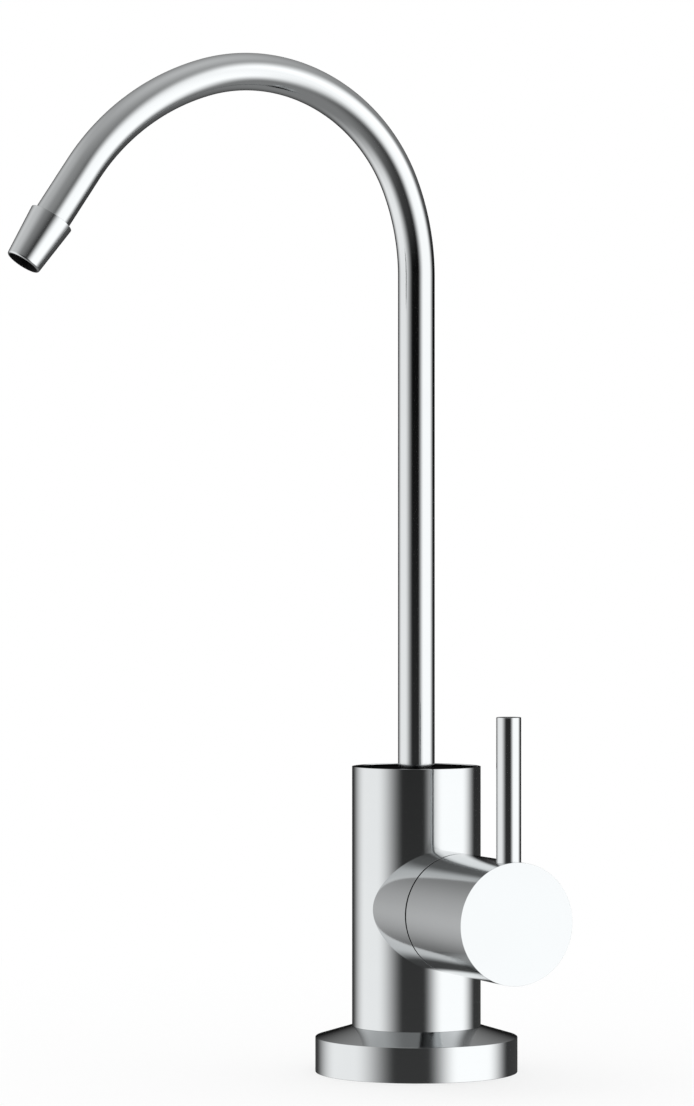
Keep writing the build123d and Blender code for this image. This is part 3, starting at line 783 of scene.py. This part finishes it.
hub = turned("hub", [
    (ADAPTER_RADIUS + FIT, ADAPTER_END + FIT),
    (ADAPTER_RADIUS + FIT, ADAPTER_START),
    (CAVITY_RADIUS, ADAPTER_START),
    (CAVITY_RADIUS, HUB_FACE),
    (STUB_RADIUS, HUB_FACE),
    (STUB_RADIUS, HUB_END),
], sides=720)
break_edges(hub, width=0.08)
stand(hub, SIDEWAYS, (0, 0, VALVE_HEIGHT))
print("hub before its holes:", len(hub.data.polygons), "faces")

# %% [markdown]
# The rod sits in a drilled seat with a narrower hole for its pin below it, and a small
# screw from below holds the hub on the valve's spindle. A drill's hole is a cylinder cut
# away, so each one is a turned tool and a Boolean. The round wall keeps its shape between
# them, which it wouldn't if holes were cut by hand into its long thin faces.

# %% Holes for the lever and the screw
LEVER_REACH = HUB_END - 4.9
LEVER_RADIUS = 3.25
SEAT_DEPTH = 2.5
HUB_TOP = VALVE_HEIGHT + STUB_RADIUS
HUB_BOTTOM = VALVE_HEIGHT - STUB_RADIUS
LEVER_SEAT = HUB_TOP - SEAT_DEPTH
PIN_RADIUS = 2.0
PIN_LENGTH = 8.0
SCREW_RADIUS = 2.5
SCREW_REACH = (ADAPTER_START + ADAPTER_END) / 2

for name, reach, radius, low, high in (
    ("seat", LEVER_REACH, LEVER_RADIUS, LEVER_SEAT, HUB_TOP + PAST),
    ("pilot", LEVER_REACH, PIN_RADIUS, LEVER_SEAT - PIN_LENGTH - FIT, LEVER_SEAT + PAST),
    ("screw_hole", SCREW_REACH, SCREW_RADIUS, HUB_BOTTOM - PAST, VALVE_HEIGHT - ADAPTER_RADIUS),
):
    drill = turned(name, [(radius + FIT, low), (radius + FIT, high)])
    stand(drill, at=(reach, 0, 0))
    combine(hub, drill, "DIFFERENCE")
print("hub with its holes:", len(hub.data.polygons), "faces")

# %% [markdown]
# The end face was faced flat and polished apart from the round, so it gets its own finish,
# a little softer. The face at the seam gets painted shade like the stub's end: near-black,
# for the shade down in the seam.

# %% The hub's two faces
near_end = (HUB_END - FIT) * MM
near_seam = (HUB_FACE + FIT) * MM
# The face at the seam gets painted shade: near-black, for the shade in the seam.
dress(
    hub, steel["sideways"],
    (steel["face"], lambda face: face.normal.x > FACING and face.center.x > near_end),
    (finish["bore"], lambda face: face.normal.x < -FACING and face.center.x < near_seam),
)
hand_over(hub, "handle", "handle_hub")

# %% [markdown]
# The lever is a thin polished rod with a pin at its foot, which is glued or screwed into the
# hub. A plain cylinder standing on the hub would look much the same, but the seat is a real
# hole with a hair of room round the rod, so the rod goes down into it. Its edges are rounded
# more than the hub's, because a finger meets them.

# %% Lever
lever = turned("lever", [
    (PIN_RADIUS, LEVER_SEAT - PIN_LENGTH),
    (PIN_RADIUS, LEVER_SEAT),
    (LEVER_RADIUS, LEVER_SEAT),
    (LEVER_RADIUS, side("lever_rod", "+z")),
], sides=192)
break_edges(lever, width=0.25)
stand(lever, at=(LEVER_REACH, 0, 0))
dress(lever, steel["upright"])
hand_over(lever, "handle", "lever_rod")

# %% [markdown]
# The shank is the hollow stem that goes through the counter. It carries a screw thread for
# the nut, so what is turned here is only its core, as thick as the thread's root, with the
# collar that sits under the body and the plain end that screws into it.

# %% Shank core
THREAD_DEPTH = 0.62
ROOT = THREAD_RADIUS - THREAD_DEPTH
SHANK_FOOT = side("threaded_shank", "-z")
SHANK_TOP = side("threaded_shank", "+z")
SHANK_BORE = 2.6
COLLAR_RADIUS = 8.0
COLLAR_FOOT = 0.3

shank = turned("shank", [
    (SHANK_BORE, SHANK_FOOT),
    (ROOT, SHANK_FOOT),
    (ROOT, COLLAR_FOOT),
    (COLLAR_RADIUS, COLLAR_FOOT),
    (COLLAR_RADIUS, SPIGOT_FOOT),
    (THREAD_RADIUS, SPIGOT_FOOT),
    (THREAD_RADIUS, SHANK_TOP),
    (SHANK_BORE, SHANK_TOP),
], bored=True, sides=144)
break_edges(shank, width=0.2)
print("shank core:", len(shank.data.polygons), "faces")

# %% [markdown]
# A thread is one profile carried round and along at once, which is what the Screw modifier
# does. A bump map could draw its lines, but a thread is seen in outline against the light,
# and there a bump is flat. The profile starts as a small plane without its face, whose outer
# edge is narrowed to the crest, and the ridge is closed at both ends.

# %% Screw thread
PITCH = 1.058
THREAD_TURNS = 51
THREAD_START = SHANK_FOOT + 0.6
PROFILE_DEPTH = 0.9  # its inner edge is buried in the core
PROFILE_WIDTH = 0.94
CREST_SHARE = 0.16  # the crest's width as a share of the profile's

bpy.ops.object.select_all(action="DESELECT")
bpy.ops.mesh.primitive_plane_add(size=1.0)
thread = bpy.context.active_object
thread.name = thread.data.name = "thread"
thread.scale = (PROFILE_DEPTH * MM, PROFILE_WIDTH * MM, 1)
middle = THREAD_RADIUS - PROFILE_DEPTH / 2
stand(thread, (90, 0, 0), (middle, 0, THREAD_START))
bpy.ops.object.mode_set(mode="EDIT")
bpy.ops.mesh.select_all(action="SELECT")
bpy.ops.mesh.delete(type="ONLY_FACE")
bpy.ops.object.mode_set(mode="OBJECT")
for vertex in thread.data.vertices:
    vertex.select = vertex.co.x > middle * MM
for edge in thread.data.edges:
    edge.select = all(thread.data.vertices[i].select for i in edge.vertices)
bpy.ops.object.mode_set(mode="EDIT")
crest = (THREAD_RADIUS * MM, 0, THREAD_START * MM)
bpy.ops.transform.resize(value=(1, 1, CREST_SHARE), center_override=crest)
bpy.ops.object.mode_set(mode="OBJECT")
apply_modifier(
    thread, "SCREW", axis="Z", angle=2 * pi, screw_offset=PITCH * MM, iterations=THREAD_TURNS,
    steps=48, render_steps=48, use_merge_vertices=False,
)
bpy.ops.object.mode_set(mode="EDIT")
close_shell()
print("thread:", len(thread.data.polygons), "faces,", mm_box(thread))

# %% [markdown]
# The ridge and the core are joined into one piece. A Boolean would weld them along fifty
# turns, slowly and with slivers. The ridge's foot is buried in the core, so nothing shows
# where they meet, and a plain join is enough.

# %% Thread and core together
bpy.ops.object.select_all(action="DESELECT")
thread.select_set(True)
shank.select_set(True)
bpy.context.view_layer.objects.active = shank
bpy.ops.object.join()
dress(shank, finish["shank"])
hand_over(shank, "tap", "threaded_shank")

# %% [markdown]
# A stack of rings under the counter clamps the tap: rubber against the counter, then a
# steel washer, a spring washer and a nut. Stamped washers have round edges and moulded
# rubber has rounder ones. The edges could be part of each outline, but a bevel with a width
# of its own does the same for all three rings.

# %% Rubber and steel washers
WASHER_BORE = THREAD_RADIUS + 0.3


def clamp_ring(name, node, edge):
    """A flat ring round the shank, as wide as its solid is at its unsplit side, and as thick."""
    outer, foot, top = -side(node, "-x"), side(node, "-z"), side(node, "+z")
    corners = [(WASHER_BORE, foot), (outer, foot), (outer, top), (WASHER_BORE, top)]
    ring = turned(name, corners, bored=True, sides=192)
    break_edges(ring, edge)
    return ring


cushion = clamp_ring("cushion", "rubber_washer", edge=0.5)
dress(cushion, finish["gasket_rubber"])
hand_over(cushion, "tap", "rubber_washer")

plate = clamp_ring("plate", "steel_washer", edge=0.25)
dress(plate, finish["zinc"])
hand_over(plate, "tap", "steel_washer")

# %% [markdown]
# The spring washer is split, so that its ends bite and the nut can't work loose. The ring
# could be spun round short of a full turn. A closed ring with a thin bar cut out of it is
# simpler, and the split's two faces come out parallel, as a saw leaves them.

# %% Spring washer
SPLIT = 1.2


def bar(name, low, high):
    """A straight bar between two corners, in millimetres."""
    bpy.ops.object.select_all(action="DESELECT")
    bpy.ops.mesh.primitive_cube_add(size=1.0)
    piece = bpy.context.active_object
    piece.name = piece.data.name = name
    piece.scale = [(b - a) * MM for a, b in zip(low, high)]
    stand(piece, at=[(a + b) / 2 for a, b in zip(low, high)])
    return piece


spring = clamp_ring("spring", "lock_washer", edge=0.15)
spring_foot, spring_top = side("lock_washer", "-z"), side("lock_washer", "+z")
spring_radius = -side("lock_washer", "-x")
low = (0, -SPLIT / 2, spring_foot - PAST)
high = (spring_radius + PAST, SPLIT / 2, spring_top + PAST)
combine(spring, bar("gap", low, high), "DIFFERENCE")
dress(spring, finish["zinc"])
hand_over(spring, "tap", "lock_washer")

# %% [markdown]
# A nut is a hexagonal bar that a lathe has touched: its six corners are cut back at both
# ends by one shallow cone. A turned blank with sloping ends is intersected with the
# hexagon, and the curved lines on its flats come out by themselves. A bevel along the
# hexagon's end would be straight, and the curves are what make a nut look like one.

# %% Hexagons
CORNER = 1 / cos(radians(30))
CONE_RUN = 1.9  # how far in the cone cuts at each end
CONE_RISE = 1.0  # and over what height
CLEAR = 0.1  # the blank is this much wider than the hexagon's corners
HAIR = 0.01  # and this much longer at each end


def hexagon(name, flats, foot, top, edge):
    """A hexagonal bar about the upright axis with its corners turned off at both ends."""
    corner = flats / 2 * CORNER
    prism = turned(name, [(corner, foot), (corner, top)], sides=6)
    stand(prism, (0, 0, 30))
    break_edges(prism, edge)
    outer = corner + CLEAR
    turned_off = turned("turned_off", [
        (outer - CONE_RUN, foot - HAIR),
        (outer, foot + CONE_RISE),
        (outer, top - CONE_RISE),
        (outer - CONE_RUN, top + HAIR),
    ])
    combine(prism, turned_off, "INTERSECT")
    return prism


# %% [markdown]
# The brass nut is the first of the two hexagons. Its hole is plain and as wide as the
# thread. The thread inside a nut is hidden by the shank that fills it, so it isn't made.

# %% Mounting nut
NUT_FLATS = 17.0

nut_foot, nut_top = side("mounting_nut", "-z"), side("mounting_nut", "+z")
nut = hexagon("nut", NUT_FLATS, nut_foot, nut_top, edge=0.2)
nut_bore = turned("nut_bore", [(THREAD_BORE, nut_foot - PAST), (THREAD_BORE, nut_top + PAST)])
combine(nut, nut_bore, "DIFFERENCE")
dress(nut, finish["brass_nut"])
hand_over(nut, "tap", "mounting_nut")

# %% [markdown]
# The connector is moulded in one: a hexagon that screws onto the shank, and a round socket
# that a quarter-inch tube is pushed into. The two are joined, and one turned tool then cuts
# the whole row of rooms inside it: thread, waterway, tube socket, seal and collet. One tool
# is surer than five, because two tools that only touch can leave a skin between them.

# %% Connector
CONNECTOR_FLATS = 19.0
CONNECTOR_RADIUS = 7.8
HEX_LENGTH = 9.0
OVERLAP = 4.0  # the socket starts this far below the hexagon's top
MOUTH_RADIUS = 4.8
ROOMS = [  # radius and length, downwards from the shank's end
    (2.3, 2.6),  # waterway
    (3.25, 6.0),  # tube socket
    (5.2, 2.1),  # seal
    (5.5, 4.6),  # collet
]

connector_foot, connector_top = side("connector_body", "-z"), side("connector_body", "+z")
hex_foot = connector_top - HEX_LENGTH
connector = hexagon("connector", CONNECTOR_FLATS, hex_foot, connector_top, edge=0.5)
socket_top = connector_top - OVERLAP
socket = turned("socket", [(CONNECTOR_RADIUS, connector_foot), (CONNECTOR_RADIUS, socket_top)])
break_edges(socket, width=0.6)
combine(connector, socket, "UNION")

outline = [(THREAD_BORE, connector_top + PAST), (THREAD_BORE, SHANK_FOOT)]
depth = SHANK_FOOT
for radius, length in ROOMS:
    outline += [(radius, depth), (radius, depth - length)]
    depth -= length
outline += [(MOUTH_RADIUS, depth), (MOUTH_RADIUS, connector_foot - PAST)]
combine(connector, turned("rooms", outline), "DIFFERENCE")
dress(connector, finish["connector_plastic"])
hand_over(connector, "tap", "connector_body")

# %% [markdown]
# The collet is the ring that is pushed in to let the tube go. Four slots make fingers of
# its upper end, and a barb on each finger keeps it in the connector. The fingers could be
# modelled one by one. Turning the whole ring and cutting two crossed bars through it gives
# all four at once, and they match.

# %% Release collet
COLLET_BORE = 3.35
COLLET_RADIUS = 4.55
COLLET_FLANGE_RADIUS = 6.4
COLLET_FLANGE_HEIGHT = 1.6
BARB_RADIUS = 5.2
BARB_HEIGHT = 1.8
SLOT = 0.9
SLOT_LIFT = 0.4  # the slots start this far above the flange

collet_foot, collet_top = side("release_collet", "-z"), side("release_collet", "+z")
collet_shoulder = collet_foot + COLLET_FLANGE_HEIGHT
collet = turned("collet", [
    (COLLET_BORE, collet_foot),
    (COLLET_FLANGE_RADIUS, collet_foot),
    (COLLET_FLANGE_RADIUS, collet_shoulder),
    (COLLET_RADIUS, collet_shoulder),
    (COLLET_RADIUS, collet_top - BARB_HEIGHT),
    (BARB_RADIUS, collet_top - BARB_HEIGHT),
    (COLLET_RADIUS, collet_top),
    (COLLET_BORE, collet_top),
], bored=True, sides=144)
break_edges(collet, width=0.2)
long, narrow = COLLET_FLANGE_RADIUS + PAST, SLOT / 2
for name, half in (("slot_across", (long, narrow)), ("slot_along", (narrow, long))):
    cut = bar(name, (-half[0], -half[1], collet_shoulder + SLOT_LIFT), (*half, collet_top + PAST))
    combine(collet, cut, "DIFFERENCE")
dress(collet, finish["collet_plastic"])
hand_over(collet, "collet", "release_collet")

# %% [markdown]
# The counter is a plain pale surface with a hole for the shank. It catches the tap's soft
# shadow. To the camera it is mostly plain white, so the shadow stays faint, and further out
# it is all white like what lies behind it, so no edge shows. Rays that a metal or a glass
# sends on get the same white as the camera's.

# %% The counter's finish
PALE = (0.975, 0.976, 0.978, 1)
PALER = (0.99, 0.99, 0.99, 1)
SHADOW_SHARE = 0.35  # how much of the shadow the camera sees
SHADOW_FADE = (0.10, 0.34)  # metres from the tap, from all of the shadow to none

floor_material, shade = new_material("counter")
point = shade.node("ShaderNodeTexCoord", output="Object")
distance = shade.node("ShaderNodeVectorMath", {"operation": "LENGTH"}, {0: point}, output=1)
speckle = grain(shade, size=3.0, detail=3.0)
inputs = {"Base Color": speckle.mix(PALE, PALER), "Roughness": 0.8, "Specular IOR Level": 0.0}
matt = shade.node("ShaderNodeBsdfPrincipled", inputs=inputs)
white = shade.node("ShaderNodeEmission", inputs={"Strength": 1.0})
camera_ray, glossy_ray, glass_ray = shade.node("ShaderNodeLightPath").outputs(
    "Is Camera Ray", "Is Glossy Ray", "Is Transmission Ray")
seen = shade.math("MAXIMUM", camera_ray, shade.math("MAXIMUM", glossy_ray, glass_ray))
plain = (1 - (1 - distance.step(*SHADOW_FADE)) * SHADOW_SHARE) * seen
either = shade.node("ShaderNodeMixShader", inputs={0: plain, 1: matt, 2: white})
shade.node("ShaderNodeOutputMaterial", inputs={"Surface": either})
print("the counter's finish has", len(floor_material.node_tree.nodes), "nodes")

# %% [markdown]
# The counter itself is a flat ring round the shank. A plane would be simpler, but it would
# cut through the shank. The ring is wide enough to hide what hangs below it from a camera
# that stands low and far off. The tap's own steel would mirror it as a white sheet, and the
# photograph's steel shows no such sheet, so the counter is left out of reflections.

# %% Counter
HOLE_RADIUS = 6.2
COUNTER_RADIUS = 1488.0

counter = open_ring("counter", HOLE_RADIUS, -FIT, sides=128)
pull_ring((HOLE_RADIUS, -FIT), (COUNTER_RADIUS, -FIT))
close_shell(fill=False)
counter.data.materials.append(floor_material)
counter.visible_glossy = False
counter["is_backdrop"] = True
print("counter faces:", len(counter.data.polygons))

# %% [markdown]
# The light is a plain white studio. A white world lights every surface evenly, so a colour
# looks as it is written. Lamps could do it too, but they would cast hard shadows that the
# photograph doesn't have.

# %% Studio world
world = bpy.data.worlds.new("studio")
world.use_nodes = True
background = world.node_tree.nodes["Background"]
background.inputs["Color"].default_value = (1, 1, 1, 1)
background.inputs["Strength"].default_value = 1.0
bpy.context.scene.world = world
bpy.context.scene.view_settings.view_transform = "Standard"
print("the world's strength is", background.inputs["Strength"].default_value)

# %% [markdown]
# Polished steel needs more than that: it looks like steel only when it has something light
# and something dark to mirror. A photographer hangs two large soft boxes, one at each side,
# and leaves dark cards between them. Here the same studio is painted on a wide dome. Real
# planes of light would do it too, but paint is moved by a number. Its two measures are the
# bearing round the tap and the height above the level, both in degrees. Bearing 0 is
# towards the camera.

# %% Bearing and height on the dome
dome_material, shade = new_material("reflected_studio")
point = shade.node("ShaderNodeTexCoord", output="Object")
unit = shade.node("ShaderNodeVectorMath", {"operation": "NORMALIZE"}, {0: point})
x, y, z = shade.node("ShaderNodeSeparateXYZ", inputs={0: unit}).outputs("X", "Y", "Z")
bearing = shade.math("ARCTAN2", y, x) * (180 / pi)
height = shade.math("ARCSINE", z) * (180 / pi)
off_level = shade.math("ABSOLUTE", height)
print("the two measures take", len(dome_material.node_tree.nodes), "nodes")

# %% [markdown]
# A real box of light has soft edges and round corners. An image of one would be fixed, so
# each side here is a soft step between two angles, and the right box narrows away from the
# level. Above the boxes the light grows towards the ceiling, and below them towards the
# table. All of it is added up into the strength of one plain emission.

# %% Reflected studio
RIGHT_BOX = 1.75  # brightness, where 1 is white
LEFT_BOX = 1.39
UPPER_WALL = 0.34
CEILING = 0.50
GROUND = 0.28
DARK_CARD = 0.060
CARD_TOP = 0.001  # the dark cards are darker above the table's glow
NARROWS = (0.2, 0.35)  # degrees that each side comes in per degree off the level
WALL_FADE = (2, 35)  # heights in degrees between which each light comes or goes
CEILING_FADE = (20, 95)
GROUND_FADE = (-66, -4)
CARD_FADE = (-9, 5)


def soft_box(start, end, foot, top):
    """1 in a box and 0 outside it. Foot and top are the heights that they fade between."""
    return start * (1 - end) * (height.step(*foot) * (1 - height.step(*top)))


right = soft_box(
    start=(bearing - off_level * NARROWS[0]).step(9, 46),
    end=(bearing + off_level * NARROWS[1]).step(89, 129),
    foot=(-57, -20), top=(20, 60),
)
left = soft_box(
    start=bearing.step(-157, -105), end=bearing.step(-77, -23), foot=(-72, -14), top=(0, 65),
)
above = height.step(*WALL_FADE) * UPPER_WALL + height.step(*CEILING_FADE) * CEILING
below = (1 - height.step(*GROUND_FADE)) * GROUND
card = DARK_CARD - height.step(*CARD_FADE) * (DARK_CARD - CARD_TOP)
light = right * RIGHT_BOX + left * LEFT_BOX + card + above + below
glow = shade.node("ShaderNodeEmission", inputs={"Strength": light})
shade.node("ShaderNodeOutputMaterial", inputs={"Surface": glow})
dome_material.cycles.emission_sampling = "NONE"
print("the reflected studio has", len(dome_material.node_tree.nodes), "nodes")

# %% [markdown]
# The dome is a large sphere round the tap, turned so that its front faces the camera. Only
# reflections see it, so it lights nothing, casts no shadow and never stands in the picture.
# A world that changes with direction could paint the same studio, but it would light the
# plastic and the rubber unevenly too.

# %% Dome
DOME_RADIUS = 5.0
DOME_HEIGHT = 0.14  # of its centre, about level with the camera

bpy.ops.object.select_all(action="DESELECT")
bpy.ops.mesh.primitive_uv_sphere_add(
    segments=96, ring_count=48, radius=DOME_RADIUS, location=(0, 0, DOME_HEIGHT))
dome = bpy.context.active_object
dome.name = "dome"
bpy.ops.object.shade_smooth()
dome.rotation_euler.z = atan2(TO_CAMERA.y, TO_CAMERA.x)
dome.data.materials.append(dome_material)
dome.visible_camera = False
dome.visible_diffuse = False
dome.visible_transmission = False
dome.visible_volume_scatter = False
dome.visible_shadow = False
dome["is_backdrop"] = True
print("the dome turns its front to", round(dome.rotation_euler.z * 180 / pi, 1), "degrees")

# %% [markdown]
# The last step puts the size of the imported solids beside the size of the dressed tap, and
# hands the scene over.

# %% Sizes and the end
size = {"cad": [list(corner) for corner in cad_box], "visual": [list(corner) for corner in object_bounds()]}
print("the dressed tap measures", [round((b - a) / MM, 1) for a, b in zip(*size["visual"])], "mm")
